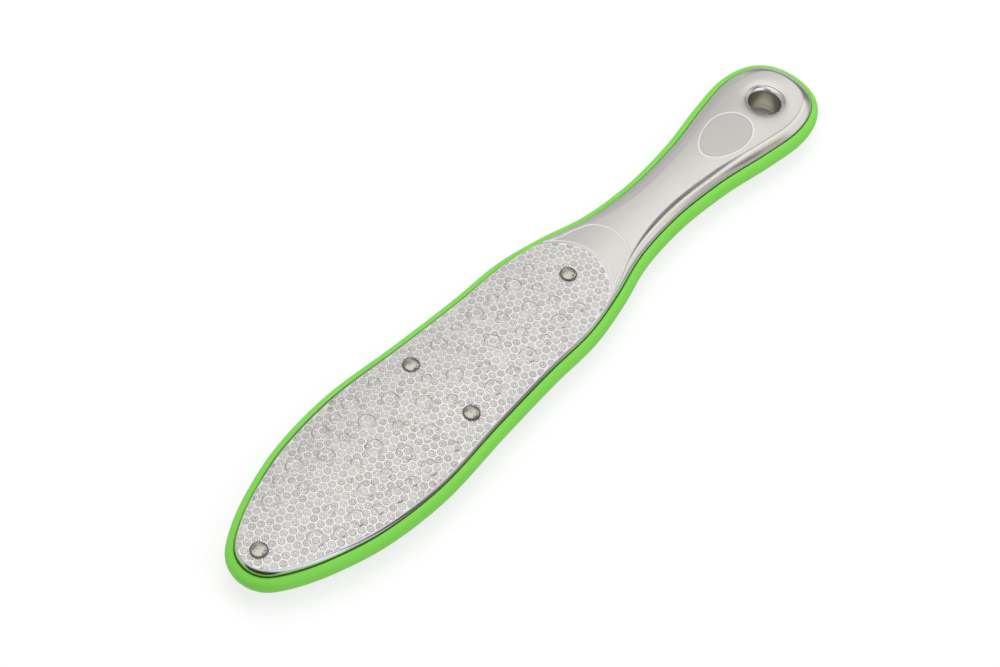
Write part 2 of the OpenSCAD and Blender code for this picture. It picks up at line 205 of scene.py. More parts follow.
def width_share(turn):
    """Half width against the greatest: a cubic through the stations with averaged slopes, over the angle
    turn = acos(1 - 2 along), mirrored in sign before the tip and past the end."""
    angle = np.degrees(np.arccos(1 - 2 * OUTLINE_SHARES[:, 0]))
    width = OUTLINE_SHARES[:, 1]
    gap = np.diff(angle)
    chord = np.diff(width) / gap
    middle = (gap[1:] * chord[:-1] + gap[:-1] * chord[1:]) / (gap[1:] + gap[:-1])
    slope = np.concatenate(([chord[0]], middle, [chord[-1]]))
    folded = np.where(turn < 0, -turn, np.where(turn > 180, 360 - turn, turn))
    i = np.clip(np.searchsorted(angle, folded, side="right") - 1, 0, len(gap) - 1)
    u = (folded - angle[i]) / gap[i]
    share = ((2 * u**3 - 3 * u**2 + 1) * width[i] + (u**3 - 2 * u**2 + u) * gap[i] * slope[i]
             + (3 * u**2 - 2 * u**3) * width[i + 1] + (u**3 - u**2) * gap[i] * slope[i + 1])
    return np.where((turn < 0) | (turn > 180), -share, share)


def outline(turn):
    """Left half of the outline: x = -L/2 cos(turn), y = W/2 times the width share."""
    return np.stack([TIP_X * np.cos(np.radians(turn)), METAL_W / 2 * width_share(turn)], -1)


def inset(turn, distance):
    """Outline moved in along its normal by a distance, and kept off the centre line."""
    run = outline(turn + 1) - outline(turn - 1)
    normal = np.stack([-run[..., 1], run[..., 0]], -1) / np.linalg.norm(run, axis=-1)[..., None]
    point = outline(turn) - np.asarray(distance)[..., None] * normal
    return np.stack([point[..., 0], np.maximum(point[..., 1], 0)], -1)


def bevel_width(turn):
    """Width of the sloping edge: narrow round the paddle, wide at the waist, a little less at the end."""
    d = outline(turn)[..., 0] - TIP_X
    widen = ease((d - BEVEL_FROM) / (BEVEL_TO - BEVEL_FROM))
    narrow = ease((d / METAL_LEN - NARROW_SHARES[0]) / (NARROW_SHARES[1] - NARROW_SHARES[0]))
    return PADDLE_BEVEL + (WAIST_BEVEL - PADDLE_BEVEL) * widen + (END_BEVEL - WAIST_BEVEL) * narrow


def roll_share(turn):
    """Roundness of the sloping edge: full as far as the neck, straighter at the handle's end."""
    d = outline(turn)[..., 0] - TIP_X
    return NECK_ROLL + (END_ROLL - NECK_ROLL) * ease((d - ROLL_FROM) / (ROLL_TO - ROLL_FROM))


def crown(y, lift=0.0):
    """Height over the middle of the thickness: a circle of the crown's radius across the file."""
    return SHELL_TOP - CROWN_R + np.sqrt((CROWN_R + lift)**2 - np.square(y))


def whole_ring(half):
    """Closed ring from its left half: the inner points come back mirrored in y."""
    back = half[..., -2:0:-1, :] * np.array([1, -1] + [1] * (half.shape[-1] - 2))
    return np.concatenate([half, back], axis=-2)


def flat_half_width(d):
    """Half width of the shell's crowned top at a distance from the tip, read off the inset outline."""
    turn = np.linspace(0, 180, 1441)
    edge = inset(turn, bevel_width(turn) + PLATE_GAP)
    return np.interp(d + TIP_X, edge[:, 0], edge[:, 1])


# Meshes
def grid_faces(rows, columns, wrap_columns=False, wrap_rows=False, start=0):
    """Quads of a grid of points numbered row by row, closed round where a direction wraps."""
    last_row = rows if wrap_rows else rows - 1
    last_column = columns if wrap_columns else columns - 1
    r, c = np.meshgrid(np.arange(last_row), np.arange(last_column), indexing="ij")
    down, across = (r + 1) % rows, (c + 1) % columns
    quads = np.stack([r * columns + c, r * columns + across, down * columns + across,
                      down * columns + c], -1)
    return quads.reshape(-1, 4) + start


def make_piece(name, points, faces, material, stands_for=(), values=None, merge=True, closed=True):
    """Object from arrays of points and faces. Doubles at seams and poles are merged, faces of a closed
    surface are turned outwards, and named arrays of values are kept on the points."""
    mesh = bpy.data.meshes.new(name)
    mesh.from_pydata(points.reshape(-1, 3).tolist(), [], [f for block in faces for f in block.tolist()])
    for key, array in (values or {}).items():
        mesh.attributes.new(key, "FLOAT", "POINT").data.foreach_set(
            "value", np.asarray(array, np.float32).ravel())
    if merge:
        work = bmesh.new()
        work.from_mesh(mesh)
        bmesh.ops.remove_doubles(work, verts=work.verts, dist=1e-7)
        bmesh.ops.dissolve_degenerate(work, edges=work.edges, dist=1e-8)
        if closed:
            bmesh.ops.recalc_face_normals(work, faces=work.faces)
        work.to_mesh(mesh)
        work.free()
    mesh.shade_smooth()
    mesh.materials.append(material)
    piece = bpy.data.objects.new(name, mesh)
    bpy.context.scene.collection.objects.link(piece)
    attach(piece, "root")
    if stands_for:
        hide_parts(*stands_for)
    return piece


# Node helpers
class Board:
    """Nodes of one tree, made and linked in short calls."""

    def __init__(self, tree):
        self.tree = tree

    def add(self, kind, inputs=None, **settings):
        node = self.tree.nodes.new("ShaderNode" + kind)
        for key, value in settings.items():
            setattr(node, key, value)
        self.feed_all(node.inputs, inputs or {})
        return node

    def feed(self, socket, value):
        if isinstance(value, bpy.types.NodeSocket):
            self.tree.links.new(value, socket)
        else:
            socket.default_value = value

    def feed_all(self, sockets, values):
        for key, value in values.items():
            self.feed(sockets[key], value)

    def math(self, operation, a, b=0.0, c=0.0, clamp=False):
        return self.add("Math", operation=operation, use_clamp=clamp, inputs={0: a, 1: b, 2: c}).outputs[0]

    def times(self, a, b):
        return self.math("MULTIPLY", a, b)

    def plus(self, a, b, clamp=False):
        return self.math("ADD", a, b, clamp=clamp)

    def minus(self, a, b):
        return self.math("SUBTRACT", a, b)

    def scaled(self, value, factor, offset):
        return self.math("MULTIPLY_ADD", value, factor, offset)

    def mix(self, share, a, b):
        return self.add("Mix", data_type="RGBA", inputs={"Factor": share, "A": a, "B": b}).outputs["Result"]

    def step(self, value, low, high, to_low=0.0, to_high=1.0):
        return self.add("MapRange", interpolation_type="SMOOTHSTEP", inputs={
            "Value": value, "From Min": low, "From Max": high, "To Min": to_low,
            "To Max": to_high}).outputs["Result"]

    def band(self, value, start, full, last, end):
        """Smooth band: it rises from the start to the full value, and falls from the last to the end."""
        return self.times(self.step(value, start, full), self.step(value, end, last))

    def noise(self, place, scale, detail=2.0, roughness=0.5):
        return self.add("TexNoise", inputs={"Vector": place, "Scale": scale, "Detail": detail,
                                            "Roughness": roughness}).outputs["Fac"]

    def axes(self, place):
        return self.add("SeparateXYZ", inputs={"Vector": place}).outputs

    def measure(self, operation, a, b):
        return self.add("VectorMath", operation=operation, inputs={0: a, 1: b}).outputs["Value"]

    def attribute(self, name):
        return self.add("Attribute", attribute_name=name).outputs["Fac"]

    def bump(self, height, strength, distance):
        return self.add("Bump", inputs={"Height": height, "Strength": strength,
                                        "Distance": distance}).outputs[0]

    def ramp(self, value, stops):
        """Colours between stops, each given by its place and its colour."""
        node = self.add("ValToRGB", inputs={"Fac": value})
        made = node.color_ramp.elements
        made.remove(made[-1])
        for number, (place, colour) in enumerate(stops):
            stop = made.new(place) if number else made[0]
            stop.position = place
            stop.color = colour
        return node.outputs["Color"]

    def group(self, tree, place, **inputs):
        """Outputs of a node group that is fed with a place and its other inputs."""
        return self.add("Group", {"Place": place, **inputs}, node_tree=tree).outputs


def new_group(name, inputs, outputs):
    """Shader node group that takes a place and named numbers and gives named numbers; returns its board,
    its inputs and its outputs."""
    tree = bpy.data.node_groups.new(name, "ShaderNodeTree")
    tree.interface.new_socket("Place", in_out="INPUT", socket_type="NodeSocketVector")
    for key in inputs:
        tree.interface.new_socket(key, in_out="INPUT", socket_type="NodeSocketFloat")
    for key in outputs:
        tree.interface.new_socket(key, in_out="OUTPUT", socket_type="NodeSocketFloat")
    board = Board(tree)
    given = tree.nodes.new("NodeGroupInput").outputs
    result = tree.nodes.new("NodeGroupOutput").inputs
    return board, given, result


def new_material(name):
    """Material with its board, its Principled shader's inputs and the place on the object."""
    material = bpy.data.materials.new(name)
    material.use_nodes = True
    board = Board(material.node_tree)
    shader = material.node_tree.nodes["Principled BSDF"].inputs
    place = board.add("TexCoord").outputs["Object"]
    return material, board, shader, place


def group_grain():
    """Fine satin grain: noise drawn out along the file, with broad handling marks in the roughness."""
    board, given, result = new_group("satin_grain", ("Rough", "Marks"), ("Roughness", "Height"))
    drawn = board.add("Mapping", inputs={"Vector": given["Place"], "Scale": (0.12, 1, 1)}).outputs[0]
    fine = board.noise(drawn, 9000, 2)
    cloud = board.noise(given["Place"], 90, 3, 0.6)
    smear = board.times(board.minus(cloud, 0.5), given["Marks"])
    rough = board.plus(given["Rough"], board.scaled(fine, 0.06, smear))
    board.feed_all(result, {"Roughness": rough, "Height": fine})
    return board.tree


def group_egg():
    """Egg-shaped area by the hanging hole: F = sqrt(u^2 + v^2), with u = x along it over its half length and
    v = y over a half width that grows by a share of u; F is 1 on its border."""
    board, given, result = new_group("egg_area", (), ("Inside", "Border", "Inner"))
    axes = board.axes(given["Place"])
    u = board.math("DIVIDE", board.minus(axes["X"], EGG_PLACE + TIP_X), EGG_HALF_LEN)
    width = board.scaled(u, EGG_HALF_W * EGG_GROWTH, EGG_HALF_W)
    v = board.math("DIVIDE", axes["Y"], width)
    reach = board.math("SQRT", board.plus(board.times(u, u), board.times(v, v)))
    front = board.step(axes["Z"], MIDDLE_Z - MM, MIDDLE_Z + MM)
    inside = board.step(reach, 0.96, 0.92)
    # Bands on the egg's border: the outer one takes a painted highlight, the inner one painted shade
    border = board.band(reach, 0.93, 0.95, 0.99, 1.01)
    inner = board.band(reach, 0.89, 0.91, 0.92, 0.94)
    board.feed_all(result, {
        "Inside": board.times(inside, front),
        "Border": board.times(border, front),
        "Inner": board.times(inner, front)})
    return board.tree


def group_grit():
    """Abrasive face of an island: two thin dark circles and a pale dot by its radius share, speckle, broad
    mottle, and a tone of its own for each island."""
    board, given, result = new_group("abrasive_grit", ("Radius", "Tone"), ("Shade", "Height", "Speck"))
    wave = board.math("COSINE", board.scaled(given["Radius"], 13.1, -2.36))
    speck = board.noise(given["Place"], 5200, 2, 0.65)
    mottle = board.noise(given["Place"], 1300, 2, 0.6)
    circles = board.step(wave, 0.3, -0.9, 0.12, -0.42)
    dot = board.step(given["Radius"], 0.2, 0.08, 0.0, 0.3)
    rough = board.times(board.minus(board.plus(speck, mottle), 1.0), 0.8)
    tone = board.times(board.minus(given["Tone"], 0.5), 0.24)
    drawn = board.plus(board.plus(circles, dot), rough)
    board.feed_all(result, {
        "Shade": board.plus(drawn, board.plus(tone, 0.58), clamp=True),
        "Height": board.scaled(wave, 0.12, speck),
        "Speck": speck})
    return board.tree


def group_field():
    """Abrasive field of a plate seen from above: a strip that ends in a circle round the centre line."""
    board, given, result = new_group("abrasive_field", (), ("Field",))
    axes = board.axes(given["Place"])
    centre_x = FIELD_END - FIELD_END_R + TIP_X
    soft = 0.1 * MM
    past = board.math("MAXIMUM", board.minus(axes["X"], centre_x), 0.0)
    square = board.plus(board.times(past, past), board.times(axes["Y"], axes["Y"]))
    within = board.step(board.math("SQRT", square), FIELD_END_R + soft, FIELD_END_R - soft)
    board.feed(result["Field"], board.math("MAXIMUM", within, board.math("LESS_THAN", past, MM)))
    return board.tree


def group_stain():
    """Thin brownish marks: the peaks of a coarse noise, broken up by a fine one."""
    board, given, result = new_group("brown_stain", ("Amount",), ("Mask",))
    patch = board.step(board.noise(given["Place"], 170, 2, 0.55), 0.62, 0.74)
    broken = board.step(board.noise(given["Place"], 1500, 3, 0.6), 0.44, 0.62)
    board.feed(result["Mask"], board.times(board.times(patch, broken), given["Amount"]))
    return board.tree


GRAIN = group_grain()
EGG = group_egg()
GRIT_FACE = group_grit()
STAIN_MARKS = group_stain()
FIELD = group_field()


def material_core():
    """Moulded lime plastic: satin, with a faint mottle, the fine texture of a mould, and painted shade that
    darkens it in the groove beside the metal."""
    material, board, shader, place = new_material("lime_plastic")
    mottle = board.noise(place, 60, 3, 0.6)
    texture = board.noise(place, 2600, 2, 0.5)
    plain = board.mix(board.step(mottle, 0.3, 0.8, 0.0, 0.14), LIME, LIME_DEEP)
    # Painted shade: the groove beside the metal is darkened in colour
    groove = board.step(board.attribute("groove_shade_share"), 0.4, 0.9)
    board.feed_all(shader, {
        "Base Color": board.mix(groove, plain, LIME_GROOVE_SHADE),
        "Roughness": board.step(texture, 0.2, 0.8, 0.36, 0.46),
        "Specular IOR Level": 0.4,
        "Normal": board.bump(texture, 0.25, 0.02 * MM)})
    return material


def material_shell():
    """Satin steel, polished on its sloping edge and darkened there by a painted dark reflection where that
    is narrow, with the bare matt egg, a painted highlight on its thin border and painted shade just inside
    it."""
    material, board, shader, place = new_material("shell_steel")
    edge = board.attribute("slope_share")
    grain = board.group(GRAIN, place, Rough=board.step(edge, 0.99, 1.0, 0.13, 0.2), Marks=0.1)
    egg = board.group(EGG, place)
    along = board.minus(board.axes(place)["X"], TIP_X)
    # Painted dark reflection on the sloping edge along the paddle, where it is narrow
    dark = board.times(board.band(along, *DARK_REFLECTION_SPAN), board.step(edge, 1.0, 0.98))
    base = board.mix(dark, STEEL, PAINTED_DARK_REFLECTION)
    base = board.mix(egg["Inside"], base, STEEL_MATT)
    # Painted shade just inside the egg's border
    base = board.mix(egg["Inner"], base, EGG_PAINTED_SHADE)
    matt = board.scaled(egg["Inside"], 0.28, grain["Roughness"])
    board.feed_all(shader, {
        # Painted highlight on the egg's thin border: paler, rougher and less metallic
        "Base Color": board.mix(egg["Border"], base, EGG_PAINTED_HIGHLIGHT),
        "Roughness": board.scaled(egg["Border"], 0.2, matt),
        "Metallic": board.scaled(egg["Border"], -0.25, 1),
        "Normal": board.bump(grain["Height"], 0.12, 0.01 * MM)})
    return material


def plate_finish(board, shader, place, pale):
    """Finish of a plate from satin steel, where pale is 0, to a pale rough web, where it is 1."""
    grain = board.group(GRAIN, place, Rough=board.scaled(pale, 0.16, 0.24), Marks=0.12)
    stain = board.group(STAIN_MARKS, place, Amount=0.25)["Mask"]
    board.feed_all(shader, {
        "Base Color": board.mix(board.times(stain, pale), board.mix(pale, STEEL, NICKEL), STAIN),
        "Roughness": grain["Roughness"],
        "Metallic": board.scaled(pale, -0.4, 1),
        "Normal": board.bump(grain["Height"], 0.15, 0.01 * MM)})


def material_plate(name):
    """Plate: the pale web in the abrasive field, satin steel on the tab."""
    material, board, shader, place = new_material(name)
    plate_finish(board, shader, place, board.group(FIELD, place)["Field"])
    return material


def material_bump():
    """Pressed bumps: the web goes on over their middle, and their slope is worn to satin steel."""
    material, board, shader, place = new_material("bump_nickel")
    plate_finish(board, shader, place, board.attribute("pale_share"))
    return material


def material_line():
    """Raised lines: pale and rough all over, with a few faint stains."""
    material, board, shader, place = new_material("line_nickel")
    grain = board.group(GRAIN, place, Rough=0.4, Marks=0.12)
    stain = board.group(STAIN_MARKS, place, Amount=0.25)["Mask"]
    board.feed_all(shader, {
        "Base Color": board.mix(stain, NICKEL, STAIN),
        "Roughness": grain["Roughness"],
        "Metallic": 0.6,
        "Normal": board.bump(grain["Height"], 0.15, 0.01 * MM)})
    return material


def material_island(name):
    """Abrasive islands: grey grit with fine circles, pale to dark by speck and by island."""
    material, board, shader, place = new_material(name)
    grit = board.group(GRIT_FACE, place, Radius=board.attribute("radius_share"),
                       Tone=board.attribute("island_tone"))
    grey = board.ramp(grit["Shade"], ((0.1, GRIT_DARK), (0.5, GRIT), (0.95, GRIT_PALE)))
    stain = board.group(STAIN_MARKS, place, Amount=0.8)["Mask"]
    board.feed_all(shader, {
        "Base Color": board.mix(stain, grey, STAIN),
        "Roughness": board.step(grit["Speck"], 0.3, 0.7, 0.62, 0.42),
        "Metallic": board.step(grit["Speck"], 0.3, 0.7, 0.35, 0.75),
        "Normal": board.bump(grit["Height"], 0.5, 0.03 * MM)})
    return material


def material_rivet():
    """Polished warm nickel with shallow dents, dull and dark down among the teeth from grime and painted
    shade.
    """
    material, board, shader, place = new_material("rivet_nickel")
    grain = board.group(GRAIN, place, Rough=0.13, Marks=0.15)
    broken = board.step(board.noise(place, 2200, 2), 0.25, 0.55, 0.75, 1.0)
    # Grime and painted shade in the teeth's hollows and at the dome's foot
    grime_and_shade = board.times(board.step(board.attribute("depth_share"), 0.3, 0.75), broken)
    dents = board.noise(place, 700, 2)
    board.feed_all(shader, {
        "Base Color": board.mix(grime_and_shade, WARM_NICKEL, GRIME_AND_SHADE),
        "Roughness": board.scaled(grime_and_shade, 0.4, grain["Roughness"]),
        "Metallic": board.step(grime_and_shade, 0.2, 1.0, 1.0, 0.5),
        "Normal": board.bump(dents, 0.6, 0.25 * MM)})
    return material


def material_eyelet():
    """Rolled steel lining: polished lip, duller down the barrel and darker there by painted shade."""
    material, board, shader, place = new_material("eyelet_steel")
    grain = board.group(GRAIN, place, Rough=0.22, Marks=0.12)
    # Painted shade down the barrel, which is also duller
    inside = board.step(board.attribute("depth_share"), 0.4, 0.9)
    board.feed_all(shader, {
        "Base Color": board.mix(inside, STEEL, BORE_PAINTED_SHADE),
        "Roughness": board.scaled(inside, 0.06, grain["Roughness"]),
        "Metallic": 1,
        "Normal": board.bump(grain["Height"], 0.2, 0.01 * MM)})
    return material


CORE_MATERIAL = material_core()
SHELL_MATERIAL = material_shell()
COARSE_MATERIAL = material_plate("coarse_plate_nickel")
FINE_MATERIAL = material_plate("fine_plate_nickel")
BUMP_MATERIAL = material_bump()
LINE_MATERIAL = material_line()
COARSE_ISLAND = material_island("coarse_grit")
FINE_ISLAND = material_island("fine_grit")
RIVET_MATERIAL = material_rivet()
EYELET_MATERIAL = material_eyelet()


def placed(x, y, height, side):
    """Points of the front or the rear face: heights over the middle go up for side 1 and down for -1."""
    x, y, height = np.broadcast_arrays(x, y, height)
    return np.stack([x, y, MIDDLE_Z + side * height], -1)


# Core
def core_rim():
    """Section carried round the outline: reach d outside the shells' edge and height z. From a groove
    under the shell's edge it rolls out as d = ledge + (lip - ledge) sin t, z = height cos t, and comes
    back below."""
    ledge, depth, inner = 0.25 * MM, 0.6 * MM, 2.5 * MM
    height = 0.985 * EDGE_Z
    t = np.radians(np.linspace(14, 90, 20))
    roll = np.stack([ledge + (LIP - ledge) * np.sin(t), height * np.cos(t)], -1)
    crest = np.array([
        [-inner, EDGE_Z - depth], [0.1 * MM, EDGE_Z - depth], [0.2 * MM, EDGE_Z - 0.8 * depth],
        [ledge, EDGE_Z - 0.4 * depth], [ledge + 0.2 * MM, EDGE_Z - 0.15 * MM]])
    upper = np.concatenate([crest, roll])
    section = np.concatenate([upper, upper[-2::-1] * np.array([1, -1])])
    # Share of painted shade: how deep into the groove under the shell's edge a point lies
    groove = np.clip((EDGE_Z - np.abs(section[:, 1])) / depth, 0, 1) * (section[:, 0] <= ledge)
    turn = np.linspace(0, 180, 361)
    half = np.stack([np.concatenate([
        inset(turn, np.full(len(turn), -d)), np.full((len(turn), 1), z)], -1) for d, z in section])
    half[:, 0, 1] = 0
    half[:, -1, 1] = 0
    ring = whole_ring(half)
    points = placed(ring[..., 0], ring[..., 1], ring[..., 2], 1)
    faces = grid_faces(len(section), ring.shape[1], wrap_columns=True, wrap_rows=True)
    return make_piece("core_rim", points, [faces], CORE_MATERIAL, ["core_frame"],
                      {"groove_shade_share": np.repeat(groove, ring.shape[1])})


# Shells
def hole_dip(r):
    """Depth of the pressed dish round the hanging hole: it dies away as exp(-distance / width), and at
    the recess it ends in a quarter round h (1 - sqrt(1 - (1 - u)^2)), with u from the recess over the
    shoulder."""
    u = np.clip((r - RECESS_R) / SHOULDER_W, 0, 1)
    shoulder = SHOULDER_H * (1 - np.sqrt(1 - (1 - u)**2))
    return DISH_DEPTH * np.exp((RECESS_R - r) / DISH_W) + shoulder


def crease_drop(gap):
    """Fall of the crown beside the sloping edge: a parabola over the crease's width, so that the crease is
    soft."""
    return CREASE_DROP * np.clip(1 - gap / CREASE_W, 0, 1)**2


def fade_rim(r, reach):
    """Share of the dish that is left toward the crown's border: none at the border, all of it 2 mm in."""
    return ease((reach - r) / (2 * MM))


def slope_rings(turn, run):
    """Sloping edge in rings from the rim to the crown: rise = run + roll (circle - run)."""
    width = bevel_width(turn)
    rise = run + roll_share(turn)[:, None] * (np.sqrt(1 - (1 - run)**2) - run)
    top = crown(inset(turn, width)[:, 1]) - CREASE_DROP
    slope = np.stack([np.concatenate([inset(turn, r * width), (EDGE_Z + s * (top - EDGE_Z))[:, None]], -1)
                      for r, s in zip(run, rise.T)])
    slope[:, 0, 1] = 0
    slope[:, -1, 1] = 0
    return whole_ring(slope)


def crown_rows(crease):
    """Crown of the paddle and the handle in rows across, from one side of the crease to the other."""
    half = crease[:, 1:]
    left = np.clip(half - CREASE_STEPS, half / 2, None)
    inner = left[:, -1:] * np.linspace(1, -1, 27)[1:-1]
    y = np.concatenate([left, inner, -left[:, ::-1]], 1)
    x = np.repeat(crease[:, :1], y.shape[1], 1)
    return np.stack([x, y, crown(y) - crease_drop(half - np.abs(y))], -1)


def crown_rings(crease, last_row):
    """Crown round the hanging hole in rings, from the crease and the last row across in to the recess."""
    border = np.concatenate([crease, crease[-2::-1] * np.array([1, -1]), last_row])
    away = border - np.array([HOLE_X, 0])
    reach = np.linalg.norm(away, axis=1)
    closer = (1 - np.linspace(0, 1, 25))**2
    near = RECESS_R + closer[:, None] * (reach - CREASE_W - RECESS_R)
    r = np.concatenate([reach - CREASE_STEPS[:-1, None], near])
    xy = np.array([HOLE_X, 0]) + r[..., None] * (away / reach[:, None])
    gap = np.interp(xy[..., 0], crease[:, 0], crease[:, 1]) - np.abs(xy[..., 1])
    beside_crease = np.arange(len(border)) < len(border) - len(last_row)
    gap = np.where(beside_crease, np.minimum(gap, reach - r), gap)
    z = crown(xy[..., 1]) - hole_dip(r) * fade_rim(r, reach) - crease_drop(gap)
    return np.concatenate([xy, z[..., None]], -1)


def shell_skin(name, side, node):
    """Pressed sheet in three blocks of points: the sloping edge, the crown in rows, and in rings round the
    hole."""
    turn = np.linspace(0, 180, 301)
    run = np.concatenate([[0, 0.004, 0.015], np.linspace(0.035, 0.98, 20), [0.993, 1]])
    crease = inset(turn, bevel_width(turn))
    split = int(np.searchsorted(crease[:, 0], HOLE_X - 15 * MM))
    slope = slope_rings(turn, run)
    rows = crown_rows(crease[:split + 1])
    rings = crown_rings(crease[split:], rows[-1, -2:0:-1, :2])
    blocks = [block.reshape(-1, 3) for block in (slope, rows, rings)]
    starts = np.cumsum([len(block) for block in blocks])
    faces = [grid_faces(*slope.shape[:2], wrap_columns=True)[:, ::-1],
             grid_faces(*rows.shape[:2], start=starts[0]),
             grid_faces(*rings.shape[:2], wrap_columns=True, start=starts[1])[:, ::-1]]
    if side < 0:
        faces = [block[:, ::-1] for block in faces]
    points = placed(*np.concatenate(blocks).T, side)
    shares = np.concatenate([np.repeat(run, slope.shape[1]), np.ones(len(points) - starts[0])])
    piece = make_piece(name, points, faces, SHELL_MATERIAL, [node],
                       {"slope_share": shares}, closed=False)
    wall = piece.modifiers.new("wall", "SOLIDIFY")
    wall.thickness = SHELL_T
    wall.offset = -1
    return piece


# Plates
def plate_skin(name, side, material, node):
    """Sheet on the crown: rows across it, spaced by a cosine from the tip to the tab's end. Its half width
    is that of the flat or of the tab's circle, and its edge rolls down from the upper face to the lower."""
    count, across = 420, 40
    start = PADDLE_BEVEL + PLATE_GAP
    d = start + (TAB_END - start) * (1 - np.cos(np.linspace(0, np.pi, count))) / 2
    centre = TAB_END - TAB_END_R
    circle = np.sqrt(np.clip(TAB_END_R**2 - np.clip(d - centre, 0, None)**2, 0, None))
    half = np.where(d > centre, np.minimum(flat_half_width(d), circle), flat_half_width(d))
    half[0] = 0
    half[-1] = 0
    s = np.sin(np.linspace(-np.pi / 2, np.pi / 2, across))
    roll_in = np.array([0.0, 0.05, 0.14]) * MM
    lift = np.array([0.62, 0.87]) * PLATE_T
    lower_y = half[:, None] * s
    kept = np.clip(half[:, None] - roll_in, 0, None)
    left = kept[:, :2]
    upper_y = kept[:, 2:] * s[::-1]
    y = np.concatenate([lower_y, left, upper_y, -left[:, ::-1]], 1)
    height = np.concatenate([crown(lower_y), crown(left) + lift, crown(upper_y, PLATE_T),
                             crown(left[:, ::-1]) + lift[::-1]], 1)
    x = np.repeat((d + TIP_X)[:, None], y.shape[1], 1)
    points = placed(x, y, height, side)
    faces = grid_faces(count, y.shape[1], wrap_columns=True)
    return make_piece(name, points, [faces], material, [node])


def bump_places(shares):
    """Centres of the bumps of one size, each pair mirrored over the centre line."""
    x = shares[:, 0] * FIELD_END + TIP_X
    y = shares[:, 1] * METAL_W / 2
    return np.concatenate([np.stack([x, y], -1), np.stack([x, -y], -1)[y > 0]])


def bump_profile(r, radius):
    """Height of a bump at a distance from its centre: a straight slope whose two ends are rounded."""
    u = np.clip((radius - r) / BUMP_SLOPE, 0, 1)
    return BUMP_H * (0.65 * u + 0.35 * ease(u))


def bump_rise(xy):
    """Height of the plate's upper face over its sheet: the highest of all bumps there."""
    rise = np.zeros(xy.shape[:-1])
    for shares, radius in BUMP_SIZES:
        for centre in bump_places(shares):
            r = np.linalg.norm(xy - centre, axis=-1)
            rise = np.maximum(rise, bump_profile(r, radius))
    return rise


def plate_bumps():
    """Pressed bumps: rings of points round each centre. The middle follows the bump's profile, and the
    slope runs over the islands as a smooth band, a hair over their faces."""
    segments = 56
    angle = np.linspace(0, 2 * np.pi, segments, endpoint=False)
    over = ISLAND_H + 0.02 * MM
    blocks, faces, shares_of_pale, start = [], [], [], 0
    for shares, radius in BUMP_SIZES:
        inner = radius - BUMP_SLOPE
        slope = radius - BUMP_SLOPE * np.linspace(1, 0, 7)
        r = np.concatenate([[0.0, inner / 2, inner - 0.12 * MM], slope, [radius + 0.03 * MM, 0.0]])
        lift = np.concatenate([np.zeros(3), np.full(len(slope), over), [-PLATE_T / 2, -PLATE_T / 2]])
        pale = np.concatenate([np.ones(3), np.zeros(len(slope) + 2)])
        for centre in bump_places(shares):
            xy = centre + r[:, None, None] * np.stack([np.cos(angle), np.sin(angle)], -1)
            z = crown(xy[..., 1], PLATE_T) + bump_profile(r, radius)[:, None] + lift[:, None]
            blocks.append(placed(xy[..., 0], xy[..., 1], z, 1).reshape(-1, 3))
            faces.append(grid_faces(len(r), segments, wrap_columns=True, start=start))
            shares_of_pale.append(np.repeat(pale, segments))
            start += len(blocks[-1])
    return make_piece("coarse_plate_bumps", np.concatenate(blocks), faces, BUMP_MATERIAL,
                      values={"pale_share": np.concatenate(shares_of_pale)})


def island_places(comb):
    """Honeycomb of centres: rows across the file, every other row moved by half a pitch."""
    i, j = np.meshgrid(np.arange(-60, 100), np.arange(-14, 15), indexing="ij")
    x = comb["first"][0] + i * comb["row"]
    y = comb["first"][1] + (j + 0.5 * (i % 2)) * comb["pitch"]
    return np.stack([x, y], -1).reshape(-1, 2)


def field_clamp(xy, margin):
    """Points kept in the abrasive field: past the tip, inside the flat's half width and inside the round
    end's circle."""
    centre = FIELD_END - FIELD_END_R + TIP_X
    first = PADDLE_BEVEL + PLATE_GAP + margin + TIP_X
    xy = np.stack([np.maximum(xy[..., 0], first), xy[..., 1]], -1)
    out = xy - np.array([centre, 0])
    r = np.linalg.norm(out, axis=-1)
    past = (out[..., 0] > 0) & (r > FIELD_END_R - margin)
    share = np.where(past, (FIELD_END_R - margin) / np.maximum(r, MM), 1)
    kept = np.array([centre, 0]) + out * share[..., None]
    half = np.clip(flat_half_width(kept[..., 0] - TIP_X) - margin, 0, None)
    kept[..., 1] = np.clip(kept[..., 1], -half, half)
    return kept


def island_centres(comb, radius, rivets):
    """Centres of the honeycomb in the field or close to its border, and clear of the rivets."""
    centres = island_places(comb)
    moved = np.linalg.norm(field_clamp(centres, FIELD_MARGIN) - centres, axis=-1)
    clear = np.min([np.linalg.norm(centres - np.array(rivet), axis=-1) for rivet in rivets], axis=0)
    return centres[(moved < radius * 0.6) & (clear > RIVET_CLEAR)]


def island_faces(rings, segments, count, side):
    """Faces of all islands, turned outwards: walls between rings, a fan round each hub, and the feet."""
    each = rings * segments + 1
    walls = grid_faces(rings, segments, wrap_columns=True)
    here = np.arange(segments)
    fan = np.stack([np.full(segments, each - 1), here, (here + 1) % segments], -1)
    base = np.arange(each - 1 - segments, each - 1)[None]
    shift = (np.arange(count) * each)[:, None, None]
    turned = 1 if side > 0 else -1
    return [(walls[None, :, ::-turned] + shift).reshape(-1, 4),
            (fan[None, :, ::turned] + shift).reshape(-1, 3),
            (base[None, :, ::-turned] + shift).reshape(-1, segments)]


